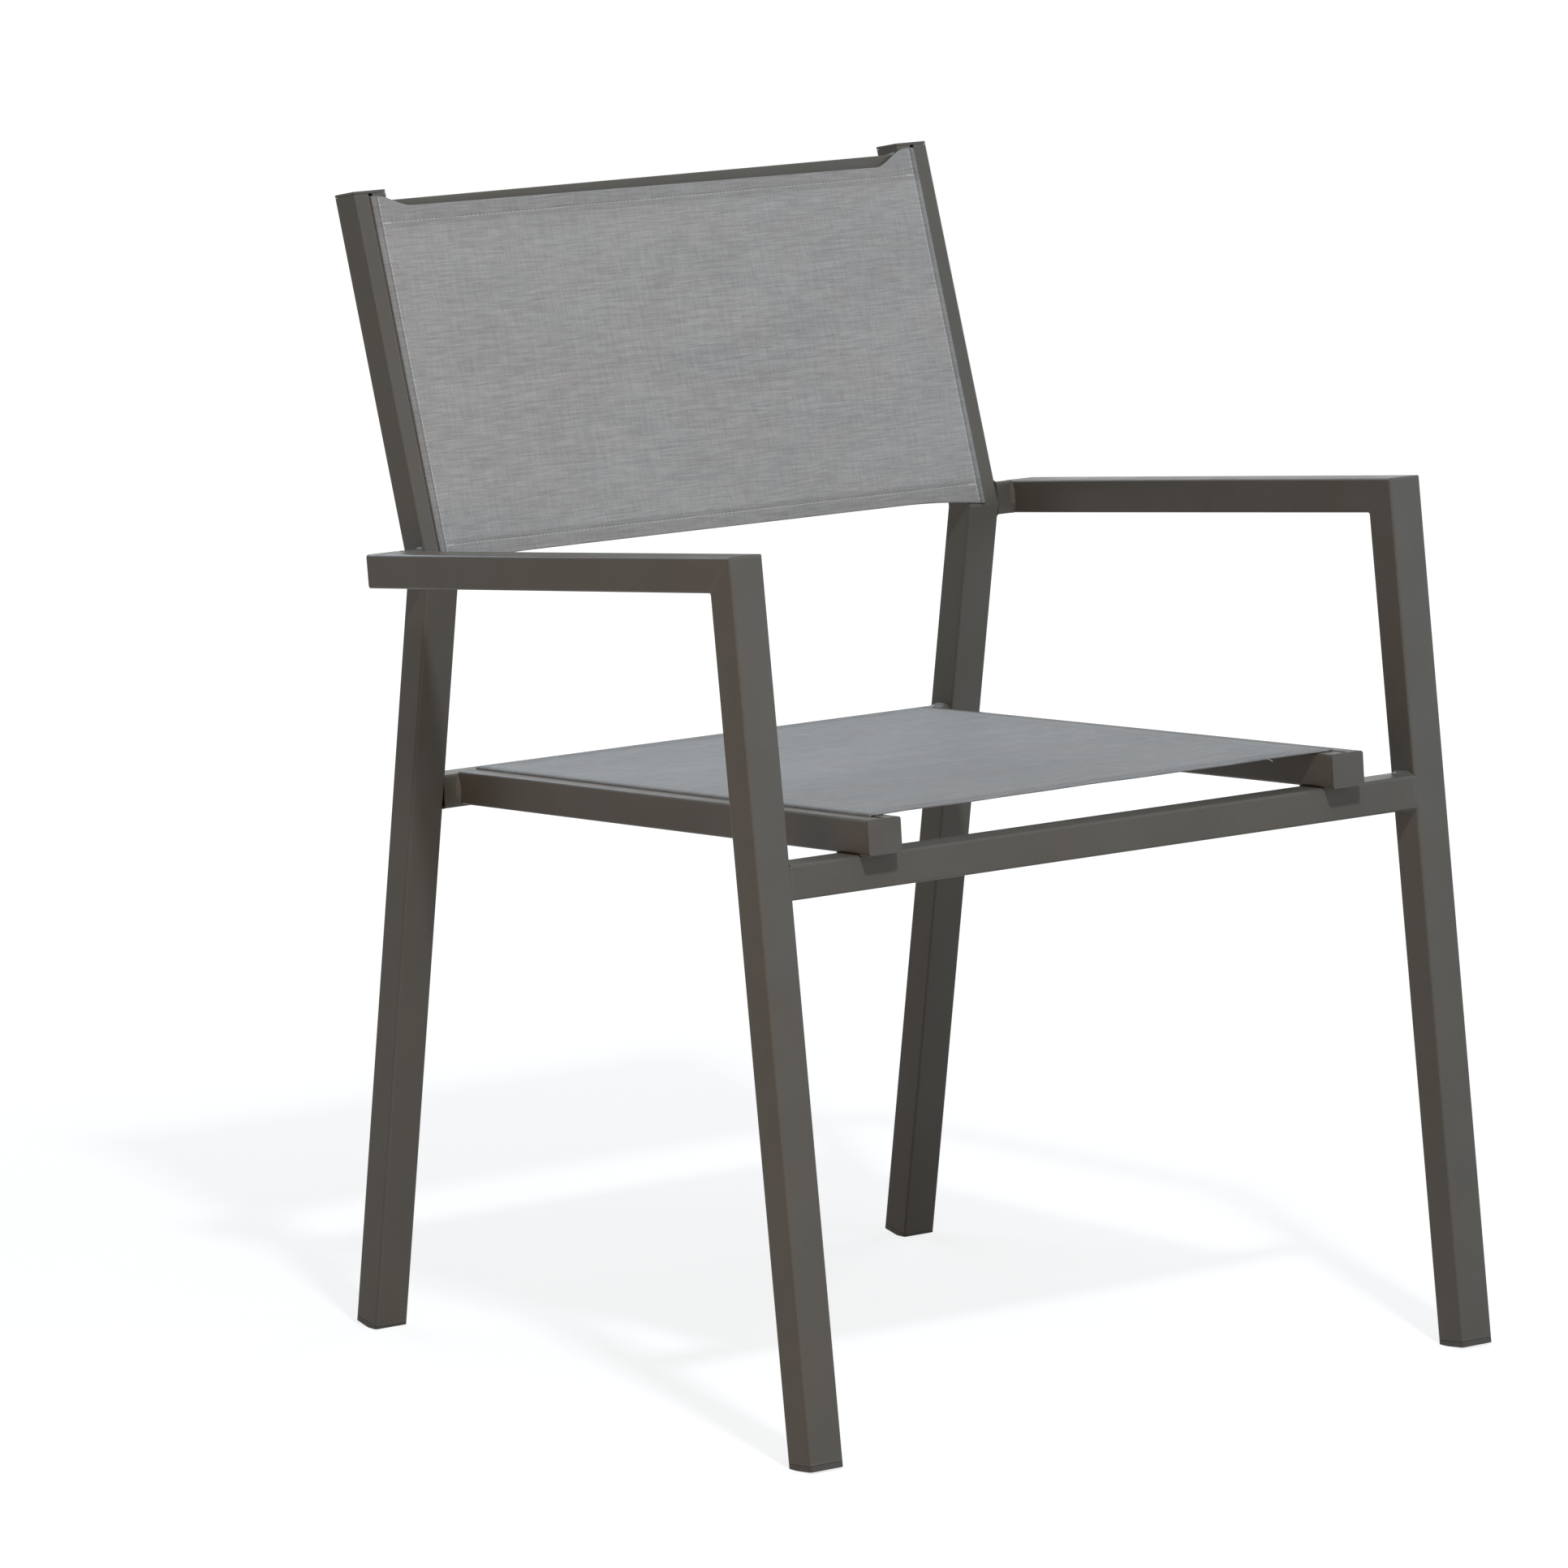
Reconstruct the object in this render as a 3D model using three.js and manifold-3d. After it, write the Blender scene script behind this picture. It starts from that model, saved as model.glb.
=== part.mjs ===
// Sling patio armchair: a welded frame of square aluminium tube that carries two stretched woven slings.
// Millimetres, +Z up. The sitter faces -Y, so the sitter's left is +X.
// The origin is on the floor, in the middle of the four feet.
import * as THREE from "three";
import { mergeVertices } from "three/addons/utils/BufferGeometryUtils.js";
import Module from "manifold-3d";

// Overall sizes
const overallWidth = 591.4;
const overallDepth = 656.4;
const armrestHeight = 620.5; // top of the armrest at its front corner
const seatHeight = 435.5; // top of the seat rails at their front ends
const bendDrop = 16; // from the top of the armrest to the bend between rear leg and back post
const postLength = 280; // front face of the back post, from the bend to the top of its cap

// Angles in degrees: each leg, armrest, rail and post leans in the side view only
const frontLegRake = 4.9;
const rearLegRake = 12.1;
const armrestFall = 3.95;
const seatFall = 1.65;
const backLean = 16.05;
const postTopFall = 8; // slope of the cut at the top of the back posts

// Tube stock: legs and back posts are square, and the level bars are as wide but less high
const tube = 27.4;
const barHeight = 24.5;
const wall = 1.5;
const cornerRadius = 2;
const cornerSteps = 4;

// Clearances
const seam = 0.3; // between two welded pieces, or a plug and its tube
const slideClearance = 0.3; // between the fabric's pocket and the groove

// Side frames
const spacerLength = 15.6; // from the armrest across to the back post
const spacerDepth = 9;

// Seat frame
const railGap = 12.6; // between the rear leg and the seat rail
const railOverhang = 13; // seat rail in front of the front crossbar
const rearCrossbarDrop = 2; // below the top of the seat rails

// Top crossbar between the back posts
const topCrossbarTube = 20;
const topCrossbarInset = 2.7; // behind the front faces of the posts
const topCrossbarDrop = 7.3; // below the top of the caps

// Keder groove in the back posts and seat rails
const grooveDepth = 5.2; // from the face to the middle of the round channel
const grooveRadius = 4;
const grooveSlot = 3.4;
const grooveWall = 1.4;
const grooveSteps = 14;

// Slings and the keder rods in their edge pockets
const fabric = 1;
const fabricLift = 0.4; // above the face that it crosses
const pocketLayers = 2;
const kederDiameter = 5.2;
const kederSteps = 16;
const backSlingStart = 1; // above the bend
const backSlingTopGap = 4.2; // below the top of the cap
const backTopDip = 10.5; // hollow of the free top edge
const backBottomDip = 6;
const seatSlingFrontGap = 16; // behind the front end of the rail
const seatSlingRearGap = 3; // in front of the rear crossbar
const seatFrontDip = 2.5;
const seatRearDip = 2.5;
const edgeSteps = 60;
const cornerFlatShare = 0.96; // share of the half width where the hollow of a free edge ends
const backTopHollowShare = 0.86; // share of the half width where it is at its full depth
const backBottomHollowShare = 0.66;
const seatHollowShare = 0.78;

// Plugs, caps and glides
const plugFlange = 2;
const plugSpigot = 12;
const glideFlange = 4;
const glideSpigot = 16;
const soleFlat = 10; // level ground at the low edge of each glide

// One oversize length for every cutting block
const overrun = 40;

// Colours, roughness and metalness
const frameColour = 0x5a564f;
const plugColour = 0x4a4742;
const slingColour = 0x8f8d8a;
const kederColour = 0xb9b7b0;
const frameRoughness = 0.55;
const frameMetalness = 0.35;
const plugRoughness = 0.6;
const fabricRoughness = 0.85;

const wasm = await Module();
wasm.setup();

const rad = THREE.MathUtils.degToRad;
const rightAngle = Math.PI / 2;

// Solids: a three.js geometry as a manifold, and back
function toSolid(geometry) {
  const bare = geometry.clone();
  bare.deleteAttribute("normal");
  bare.deleteAttribute("uv");
  const merged = mergeVertices(bare);
  return new wasm.Manifold(
    new wasm.Mesh({
      numProp: 3,
      vertProperties: new Float32Array(merged.attributes.position.array),
      triVerts: new Uint32Array(merged.index.array),
    }),
  );
}

function toGeometry(solid) {
  const mesh = solid.getMesh();
  const geometry = new THREE.BufferGeometry();
  geometry.setAttribute("position", new THREE.BufferAttribute(mesh.vertProperties, 3));
  geometry.setIndex(new THREE.BufferAttribute(mesh.triVerts, 1));
  const flat = geometry.toNonIndexed();
  flat.computeVertexNormals();
  return flat;
}

const join = (a, b) => toGeometry(toSolid(a).add(toSolid(b)));
const cut = (a, b) => toGeometry(toSolid(a).subtract(toSolid(b)));
const overlap = (a, b) => toGeometry(toSolid(a).intersect(toSolid(b)));

// Sections. x runs across the chair, and y runs into the member from its reference face at y = 0.
function arcPoints(x, y, radius, from, to, steps) {
  const curve = new THREE.EllipseCurve(x, y, radius, radius, from, to, to < from);
  return curve.getPoints(steps);
}

function roundedBox(width, depth, radius, yStart) {
  const x = width / 2 - radius;
  const low = yStart + radius;
  const high = yStart + depth - radius;
  const corner = (cx, cy, turn) =>
    arcPoints(cx, cy, radius, turn * rightAngle, (turn + 1) * rightAngle, cornerSteps);
  return [...corner(x, high, 0), ...corner(-x, high, 1), ...corner(-x, low, 2), ...corner(x, low, 3)];
}

function rectangle(width, depth, yStart) {
  const x = width / 2;
  const end = yStart + depth;
  return [[x, yStart], [x, end], [-x, end], [-x, yStart]].map((p) => new THREE.Vector2(...p));
}

function tubeSection(width, depth) {
  const shape = new THREE.Shape(roundedBox(width, depth, cornerRadius, 0));
  shape.holes.push(new THREE.Path(rectangle(width - 2 * wall, depth - 2 * wall, wall)));
  return shape;
}

const solidSection = (width, depth, yStart) => new THREE.Shape(rectangle(width, depth, yStart));

// The grooved tube: a slot in the middle of its reference face opens into a round channel for the keder
function groovedSection(depth) {
  const half = grooveSlot / 2;
  const slotTurn = Math.asin(half / grooveRadius);
  const outer = roundedBox(tube, depth, cornerRadius, 0);
  const slot = [
    new THREE.Vector2(-half, 0),
    ...arcPoints(
      0, grooveDepth, grooveRadius,
      -rightAngle - slotTurn, -rightAngle + slotTurn - 2 * Math.PI, grooveSteps,
    ),
    new THREE.Vector2(half, 0),
  ];
  const split = outer.findIndex((p) => p.y === 0 && p.x > 0);
  const shape = new THREE.Shape([...outer.slice(split), ...outer.slice(0, split), ...slot]);
  const outside = grooveRadius + grooveWall;
  const fromFace = grooveDepth - wall;
  const wallTurn = Math.acos(fromFace / outside);
  const side = tube / 2 - wall;
  const back = depth - wall;
  shape.holes.push(
    new THREE.Path([
      new THREE.Vector2(side, wall),
      new THREE.Vector2(side, back),
      new THREE.Vector2(-side, back),
      new THREE.Vector2(-side, wall),
      ...arcPoints(
        0, grooveDepth, outside,
        -rightAngle - wallTurn, -rightAngle + wallTurn - 2 * Math.PI, grooveSteps,
      ),
    ]),
  );
  return shape;
}

// A prism along z whose two ends follow start(y) and end(y)
function prism(shape, start, end) {
  const geometry = new THREE.ExtrudeGeometry(shape, { depth: 1, bevelEnabled: false });
  const position = geometry.attributes.position;
  for (let i = 0; i < position.count; i++) {
    const y = position.getY(i);
    position.setZ(i, position.getZ(i) === 0 ? start(y) : end(y));
  }
  geometry.computeVertexNormals();
  return geometry;
}

const square = (z) => () => z; // an end cut square across the member
const sloped = (z, slope) => (y) => z + slope * y; // an end cut at a slope to it
const mitreStep = (slope) => (seam / 2) * Math.hypot(1, slope); // half a seam, across a sloped cut

// A piece along x, with its section centred on the x axis
function crossPiece(section, length) {
  const geometry = prism(section, square(-length / 2), square(length / 2));
  return geometry.rotateY(rightAngle);
}

// Members in the side view. Each has a corner on its reference face, and its own direction:
// z runs along it and y runs into it, so a local point (y, z) lies at the world point below.
function member(y, z, lean) {
  const group = new THREE.Group();
  group.position.set(0, y, z);
  group.rotation.x = lean;
  return { group, y, z, sin: Math.sin(lean), cos: Math.cos(lean) };
}
const worldY = (m, y, z) => m.y + m.cos * y - m.sin * z;
const worldZ = (m, y, z) => m.z + m.sin * y + m.cos * z;

// Where the line from a point of one member's reference face meets a world line of slope dy/dz
function alongTo(m, y, lineY, lineZ, slope) {
  const offset = lineY - worldY(m, y, 0) + slope * (worldZ(m, y, 0) - lineZ);
  return offset / (-m.sin - slope * m.cos);
}

const chair = new THREE.Group();
chair.name = "sling_patio_chair";

function add(parent, name, geometry, colour, roughness, metalness, x = 0, y = 0, z = 0) {
  const material = new THREE.MeshStandardMaterial({ color: colour, roughness, metalness });
  const mesh = new THREE.Mesh(geometry, material);
  mesh.name = name;
  mesh.position.set(x, y, z);
  parent.add(mesh);
  return mesh;
}
const addFrame = (parent, name, geometry, x, y, z) =>
  add(parent, name, geometry, frameColour, frameRoughness, frameMetalness, x, y, z);
const addPlug = (parent, name, geometry, x, y, z) =>
  add(parent, name, geometry, plugColour, plugRoughness, 0, x, y, z);

const sides = [["left", 1], ["right", -1]];

// Reference corners in the side view
const frontRake = rad(frontLegRake);
const rearRake = rad(rearLegRake);
const lean = rad(backLean);
const armFall = rad(armrestFall);
const frontCornerY = -overallDepth / 2 + armrestHeight * Math.tan(frontRake);
const rearFootY = overallDepth / 2 - tube / Math.cos(rearRake); // front face of the rear leg, at the floor
const armrestOverFoot = armrestHeight - (rearFootY - frontCornerY) * Math.tan(armFall);
const bendHeight = (armrestOverFoot - bendDrop) / (1 - Math.tan(armFall) * Math.tan(rearRake));
const bendY = rearFootY - bendHeight * Math.tan(rearRake);

const frontLeg = member(frontCornerY, armrestHeight, -frontRake);
const armrest = member(frontCornerY, armrestHeight, -(rightAngle + armFall));
const rearLeg = member(bendY, bendHeight, rearRake);
const backPost = member(bendY, bendHeight, -lean);
for (const m of [frontLeg, armrest, rearLeg, backPost]) chair.add(m.group);

// Places across the chair, of the middle of each tube
const outerX = overallWidth / 2 - tube / 2;
const innerX = overallWidth / 2 - tube - spacerLength - tube / 2;
const railX = innerX - tube / 2 - railGap - tube / 2;

// Foot glide: a square-cut plug whose low edge is ground level, so it stands flat on the floor
const floorAt = (m) => (y) => (-m.z - m.sin * y) / m.cos;
const soleAt = (m) => floorAt(m)(m.sin > 0 ? soleFlat : tube - soleFlat);
const legEnd = (m) => soleAt(m) + glideFlange + seam;

function glide(m) {
  const sole = soleAt(m);
  const squareEnd = prism(
    new THREE.Shape(roundedBox(tube, tube, cornerRadius, 0)), square(sole), square(sole + glideFlange),
  );
  const blockSize = tube + 2 * overrun;
  const ground = prism(solidSection(blockSize, blockSize, -overrun), square(sole - overrun), floorAt(m));
  const flange = cut(squareEnd, ground);
  const inside = tube - 2 * (wall + seam);
  const spigot = prism(
    solidSection(inside, inside, wall + seam),
    square(sole + glideFlange / 2),
    square(sole + glideFlange + glideSpigot),
  );
  return join(flange, spigot);
}

// Plug for the rear end of an armrest: a flange that ends at z, and a spigot forward into the tube
function armrestPlug(z) {
  const flange = prism(
    new THREE.Shape(roundedBox(tube, barHeight, cornerRadius, 0)), square(z - plugFlange), square(z),
  );
  const inset = wall + seam;
  const spigot = prism(
    solidSection(tube - 2 * inset, barHeight - 2 * inset, inset),
    square(z - plugFlange - plugSpigot), square(z - plugFlange / 2),
  );
  return join(flange, spigot);
}

// Spigot behind the keder channel of a grooved tube, between two ends
function groovedSpigot(depth, start, end) {
  const top = grooveDepth + grooveRadius + grooveWall + seam;
  const inset = wall + seam;
  return prism(solidSection(tube - 2 * inset, depth - inset - top, top), start, end);
}

// Side frames: front leg, armrest and the spacer that joins the armrest to the back post.
// Each mitre runs from the outer corner of two members to their inner corner.
const armCorner = rightAngle + armFall - frontRake;
const legMitre = (barHeight / tube + Math.cos(armCorner)) / Math.sin(armCorner);
const armMitre = (tube / barHeight + Math.cos(armCorner)) / Math.sin(armCorner);
const bendMitre = Math.tan((rearRake + lean) / 2);
const topSlope = Math.tan(lean - rad(postTopFall));
const postTop = (z) => sloped(z, topSlope);

// The spacer's front face lies inside the outline of post and leg, and the armrest ends flush with its back
const spacerStart = Math.max(
  alongTo(armrest, 0, bendY, bendHeight, Math.tan(lean)),
  alongTo(armrest, barHeight, bendY, bendHeight, -Math.tan(rearRake)),
);
const armrestEnd = spacerStart + spacerDepth;

for (const [side, sign] of sides) {
  addFrame(
    frontLeg.group, `front_leg_${side}`,
    prism(tubeSection(tube, tube), square(legEnd(frontLeg)), sloped(-mitreStep(legMitre), -legMitre)),
    sign * outerX,
  );
  addPlug(frontLeg.group, `foot_glide_front_${side}`, glide(frontLeg), sign * outerX);
  addFrame(
    armrest.group, `armrest_${side}`,
    prism(
      tubeSection(tube, barHeight),
      sloped(mitreStep(armMitre), armMitre), square(armrestEnd - plugFlange - seam),
    ),
    sign * outerX,
  );
  addPlug(armrest.group, `armrest_plug_${side}`, armrestPlug(armrestEnd), sign * outerX);
  const spacerSection = new THREE.Shape(roundedBox(spacerDepth, barHeight, cornerRadius, 0));
  addFrame(
    armrest.group, `armrest_spacer_${side}`, crossPiece(spacerSection, spacerLength - 2 * seam),
    (sign * (outerX + innerX)) / 2, 0, spacerStart + spacerDepth / 2,
  );
  addFrame(
    rearLeg.group, `rear_leg_${side}`,
    prism(tubeSection(tube, tube), square(legEnd(rearLeg)), sloped(-mitreStep(bendMitre), -bendMitre)),
    sign * innerX,
  );
  addPlug(rearLeg.group, `foot_glide_rear_${side}`, glide(rearLeg), sign * innerX);
  addFrame(
    backPost.group, `back_post_${side}`,
    prism(
      groovedSection(tube), sloped(mitreStep(bendMitre), bendMitre), postTop(postLength - plugFlange - seam),
    ),
    sign * innerX,
  );
  const cap = join(
    prism(
      new THREE.Shape(roundedBox(tube, tube, cornerRadius, 0)),
      postTop(postLength - plugFlange), postTop(postLength),
    ),
    groovedSpigot(
      tube, postTop(postLength - plugFlange - plugSpigot), postTop(postLength - plugFlange / 2),
    ),
  );
  addPlug(backPost.group, `post_cap_${side}`, cap, sign * innerX);
}

// Top crossbar, between the back posts and turned with them
const betweenPosts = 2 * (innerX - tube / 2 - seam);
const topCrossbarZ = postLength - topCrossbarDrop - topCrossbarTube / 2;
addFrame(
  backPost.group, "back_top_crossbar",
  crossPiece(tubeSection(topCrossbarTube, topCrossbarTube), betweenPosts),
  0, topCrossbarInset, topCrossbarZ,
);

// Seat frame: the rails lie on the front crossbar and end against the rear crossbar
const fall = rad(seatFall);
const crossbarMiddle = barHeight + seam + barHeight / 2;
const seatLean = -(rightAngle + fall);
const trial = member(0, seatHeight, seatLean);
const legSlope = Math.tan(frontRake);
const legFaceY = frontCornerY + (worldZ(trial, crossbarMiddle, railOverhang) - armrestHeight) * legSlope;
const seatFrontY = legFaceY - worldY(trial, crossbarMiddle, railOverhang);
const seatFrame = member(seatFrontY, seatHeight, seatLean);
chair.add(seatFrame.group);

const rearCrossbarZ = alongTo(
  seatFrame, rearCrossbarDrop + barHeight / 2, bendY, bendHeight, -Math.tan(rearRake),
);
const railEnd = rearCrossbarZ - seam;
const railPlugEnd = plugFlange + seam;

addFrame(
  seatFrame.group, "front_crossbar",
  crossPiece(tubeSection(tube, barHeight), 2 * (outerX - tube / 2 - seam)),
  0, barHeight + seam, railOverhang + tube / 2,
);
addFrame(
  seatFrame.group, "rear_crossbar",
  crossPiece(tubeSection(tube, barHeight), betweenPosts), 0, rearCrossbarDrop, rearCrossbarZ + tube / 2,
);
for (const [side, sign] of sides) {
  addFrame(
    seatFrame.group, `seat_rail_${side}`,
    prism(groovedSection(barHeight), square(railPlugEnd), square(railEnd)), sign * railX,
  );
  const plug = join(
    prism(new THREE.Shape(roundedBox(tube, barHeight, cornerRadius, 0)), square(0), square(plugFlange)),
    groovedSpigot(barHeight, square(plugFlange / 2), square(plugFlange + plugSpigot)),
  );
  addPlug(seatFrame.group, `seat_rail_plug_${side}`, plug, sign * railX);
}

// Sling section: a flat sheet whose two edges go down the slots and wrap round the keder rods
function slingSection(rodX) {
  const neck = (pocketLayers * fabric) / 2;
  const pocketRadius = grooveRadius - slideClearance;
  const neckTurn = Math.asin(neck / pocketRadius);
  const under = -fabricLift;
  const over = under - fabric;
  const pocket = (sign) => {
    const turns = [-rightAngle + neckTurn, -rightAngle - neckTurn + 2 * Math.PI];
    const points = arcPoints(0, grooveDepth, pocketRadius, ...turns, kederSteps);
    return points.map((p) => new THREE.Vector2(sign * (rodX + p.x), p.y));
  };
  const outline = [
    new THREE.Vector2(-(rodX + neck), over),
    new THREE.Vector2(rodX + neck, over),
    ...pocket(1),
    new THREE.Vector2(rodX - neck, under),
    new THREE.Vector2(-(rodX - neck), under),
    ...pocket(-1).reverse(),
  ];
  const shape = new THREE.Shape(outline);
  const bore = pocketRadius - fabric;
  for (const sign of [1, -1]) {
    const hole = arcPoints(sign * rodX, grooveDepth, bore, 0, 2 * Math.PI, kederSteps);
    shape.holes.push(new THREE.Path(hole.slice(0, -1)));
  }
  return shape;
}

// Free edges: hollow between the corners, and flat again over the last stretch at each rail
const hollow = (share, full) => 1 - THREE.MathUtils.smoothstep(Math.abs(share), full, cornerFlatShare);

function slingOutline(halfWidth, low, high) {
  const points = [];
  const across = (i) => (2 * i) / edgeSteps - 1;
  for (let i = 0; i <= edgeSteps; i++) {
    const dip = low.dip * hollow(across(i), low.full);
    points.push(new THREE.Vector2(halfWidth * across(i), low.at + dip));
  }
  for (let i = edgeSteps; i >= 0; i--) {
    const dip = high.dip * hollow(across(i), high.full);
    points.push(new THREE.Vector2(halfWidth * across(i), high.at - dip));
  }
  const outline = new THREE.Shape(points);
  const block = new THREE.ExtrudeGeometry(outline, { depth: 2 * overrun, bevelEnabled: false });
  return block.rotateX(rightAngle).translate(0, overrun, 0);
}

function addSling(m, name, rodX, low, high) {
  const whole = prism(slingSection(rodX), square(low.at), square(high.at));
  const geometry = overlap(whole, slingOutline(rodX + grooveRadius, low, high));
  add(m.group, `${name}_sling`, geometry, slingColour, fabricRoughness, 0);
  const length = high.at - low.at;
  for (const [side, sign] of sides) {
    const rod = new THREE.CylinderGeometry(kederDiameter / 2, kederDiameter / 2, length, kederSteps);
    rod.rotateX(rightAngle).translate(0, grooveDepth, low.at + length / 2);
    add(m.group, `${name}_keder_${side}`, rod, kederColour, fabricRoughness, 0, sign * rodX);
  }
}

addSling(
  backPost, "back", innerX,
  { at: backSlingStart, dip: backBottomDip, full: backBottomHollowShare },
  { at: postLength - backSlingTopGap, dip: backTopDip, full: backTopHollowShare },
);
addSling(
  seatFrame, "seat", railX,
  { at: seatSlingFrontGap, dip: seatFrontDip, full: seatHollowShare },
  { at: railEnd - seatSlingRearGap, dip: seatRearDip, full: seatHollowShare },
);

export default chair;
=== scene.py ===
import math

import bmesh
import bpy
from mathutils import Matrix, Vector


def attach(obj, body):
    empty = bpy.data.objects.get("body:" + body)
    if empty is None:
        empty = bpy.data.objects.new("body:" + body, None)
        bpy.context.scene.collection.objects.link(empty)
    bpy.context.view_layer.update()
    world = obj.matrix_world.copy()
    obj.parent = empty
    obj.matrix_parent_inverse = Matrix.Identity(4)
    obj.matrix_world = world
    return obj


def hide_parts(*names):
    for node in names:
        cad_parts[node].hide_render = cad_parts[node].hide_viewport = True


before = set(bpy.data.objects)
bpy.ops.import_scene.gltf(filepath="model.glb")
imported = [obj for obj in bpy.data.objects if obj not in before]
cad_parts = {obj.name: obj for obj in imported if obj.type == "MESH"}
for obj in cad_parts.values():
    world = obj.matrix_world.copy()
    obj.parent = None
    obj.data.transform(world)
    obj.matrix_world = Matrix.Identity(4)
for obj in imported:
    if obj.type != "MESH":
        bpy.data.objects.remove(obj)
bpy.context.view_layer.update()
scene = bpy.context.scene

# Lengths are in millimetres where no comment says metres. A sitter faces -Y, with +X at their left.
MM = 0.001
PER_METRE = 1000
RIGHT_ANGLE = math.pi / 2
SIDES = (("left", 1), ("right", -1))

# Driving sizes of the chair, as in its CAD source
WIDTH = 591.4
DEPTH = 656.4
ARMREST_HEIGHT = 620.5  # top of the armrest at its front corner
SEAT_HEIGHT = 435.5  # top of the seat rails at their front ends
BEND_DROP = 16  # from the top of the armrest to the bend between rear leg and back post
POST_LENGTH = 280  # front face, from the bend to the top of the cap
FRONT_RAKE = math.radians(4.9)
REAR_RAKE = math.radians(12.1)
ARM_FALL = math.radians(3.95)
SEAT_FALL = math.radians(1.65)
BACK_LEAN = math.radians(16.05)
TUBE = 27.4  # legs and posts
BAR = 24.5  # height of the level bars, which are as wide as the tube
CORNER = 2  # radius of the tubes' edges
SEAM = 0.3  # between members that meet
SPACER_LENGTH = 15.6  # from an armrest to the back post
SPACER_DEPTH = 9  # along the armrest
RAIL_GAP = 12.6  # from a back post to the seat rail, across the chair
RAIL_OVERHANG = 13  # in front of the front crossbar
REAR_BAR_DROP = 2  # below the top of the rails
TOP_BAR = 20  # width and height
TOP_BAR_INSET = 2.7  # behind the front faces of the posts
TOP_BAR_DROP = 7.3  # below the top of the caps
ROD_DEPTH = 5.2  # of the middle of a rod in its groove
POCKET_OUTER = 3.65  # radius
POCKET_INNER = 2.75

# Camera, fitted to the straight edges of the chair in a square picture 1932 pixels wide
CAMERA_PLACE = (-3.5069394, -5.0744308, 1.2962597)  # metres
CAMERA_AZIMUTH = math.radians(-34.0913)
CAMERA_ELEVATION = math.radians(8.1836)
CAMERA_ROLL = math.radians(-2.3648)
FOCAL_PIXELS = 10680.4459
PICTURE_PIXELS = 1932
SENSOR = 36
CLIP_START, CLIP_END = 0.1, 100  # metres


def make_camera():
    a, e, r = CAMERA_AZIMUTH, CAMERA_ELEVATION, CAMERA_ROLL
    back = Vector((math.sin(a) * math.cos(e), -math.cos(a) * math.cos(e), math.sin(e)))
    level = Vector((math.cos(a), math.sin(a), 0))
    upright = back.cross(level)
    right = level * math.cos(r) + upright * math.sin(r)
    up = upright * math.cos(r) - level * math.sin(r)
    data = bpy.data.cameras.new("camera")
    data.sensor_width = SENSOR
    data.lens = FOCAL_PIXELS / PICTURE_PIXELS * SENSOR
    data.clip_start, data.clip_end = CLIP_START, CLIP_END
    camera = bpy.data.objects.new("camera", data)
    camera.matrix_world = Matrix((*zip(right, up, back, CAMERA_PLACE), (0, 0, 0, 1)))
    scene.collection.objects.link(camera)
    scene.camera = camera


make_camera()
scene.view_settings.view_transform = "Standard"


class Member:
    """A tube in the side view: local y runs into it from its reference face, and z along it."""

    def __init__(self, y, z, lean):
        self.y, self.z = y, z
        self.sin, self.cos = math.sin(lean), math.cos(lean)

    def at(self, x, y, z):
        """The chair's point for a local point."""
        return Vector(
            (x, self.y + self.cos * y - self.sin * z, self.z + self.sin * y + self.cos * z)
        )

    def turn(self, x, y, z):
        """The chair's direction for a local direction."""
        return Vector((x, self.cos * y - self.sin * z, self.sin * y + self.cos * z))

    def along_to(self, y, line_y, line_z, slope):
        """Where the line along the tube at depth y meets a line of slope dy/dz."""
        p = self.at(0, y, 0)
        offset = line_y - p.y + slope * (p.z - line_z)
        return offset / (-self.sin - slope * self.cos)


# Reference corners and members in the side view
front_corner_y = -DEPTH / 2 + ARMREST_HEIGHT * math.tan(FRONT_RAKE)
rear_foot_y = DEPTH / 2 - TUBE / math.cos(REAR_RAKE)
arm_over_foot = ARMREST_HEIGHT - (rear_foot_y - front_corner_y) * math.tan(ARM_FALL)
bend_z = (arm_over_foot - BEND_DROP) / (1 - math.tan(ARM_FALL) * math.tan(REAR_RAKE))
bend_y = rear_foot_y - bend_z * math.tan(REAR_RAKE)

front_leg = Member(front_corner_y, ARMREST_HEIGHT, -FRONT_RAKE)
armrest = Member(front_corner_y, ARMREST_HEIGHT, -(RIGHT_ANGLE + ARM_FALL))
rear_leg = Member(bend_y, bend_z, REAR_RAKE)
back_post = Member(bend_y, bend_z, -BACK_LEAN)

# Places across the chair, of the middle of each tube
outer_x = WIDTH / 2 - TUBE / 2
inner_x = outer_x - TUBE - SPACER_LENGTH
rails_x = inner_x - TUBE - RAIL_GAP

# The seat's place puts the middle of the front crossbar's front face level with the front legs'
seat_lean = -(RIGHT_ANGLE + SEAT_FALL)
crossbar_middle = BAR + SEAM + BAR / 2
overhung = Member(0, SEAT_HEIGHT, seat_lean).at(0, crossbar_middle, RAIL_OVERHANG)
leg_face_y = front_corner_y + (overhung.z - ARMREST_HEIGHT) * math.tan(FRONT_RAKE)
seat = Member(leg_face_y - overhung.y, SEAT_HEIGHT, seat_lean)
rear_bar_z = seat.along_to(REAR_BAR_DROP + BAR / 2, bend_y, bend_z, -math.tan(REAR_RAKE))
rail_end = rear_bar_z - SEAM
spacer_start = max(
    armrest.along_to(0, bend_y, bend_z, math.tan(BACK_LEAN)),
    armrest.along_to(BAR, bend_y, bend_z, -math.tan(REAR_RAKE)),
)


def ramp(x, low, high):
    """0 up to low, 1 from high on, and straight between them."""
    return min(1, max(0, (x - low) / (high - low)))


def smoothstep(x, low, high):
    t = ramp(x, low, high)
    return t * t * (3 - 2 * t)


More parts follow.
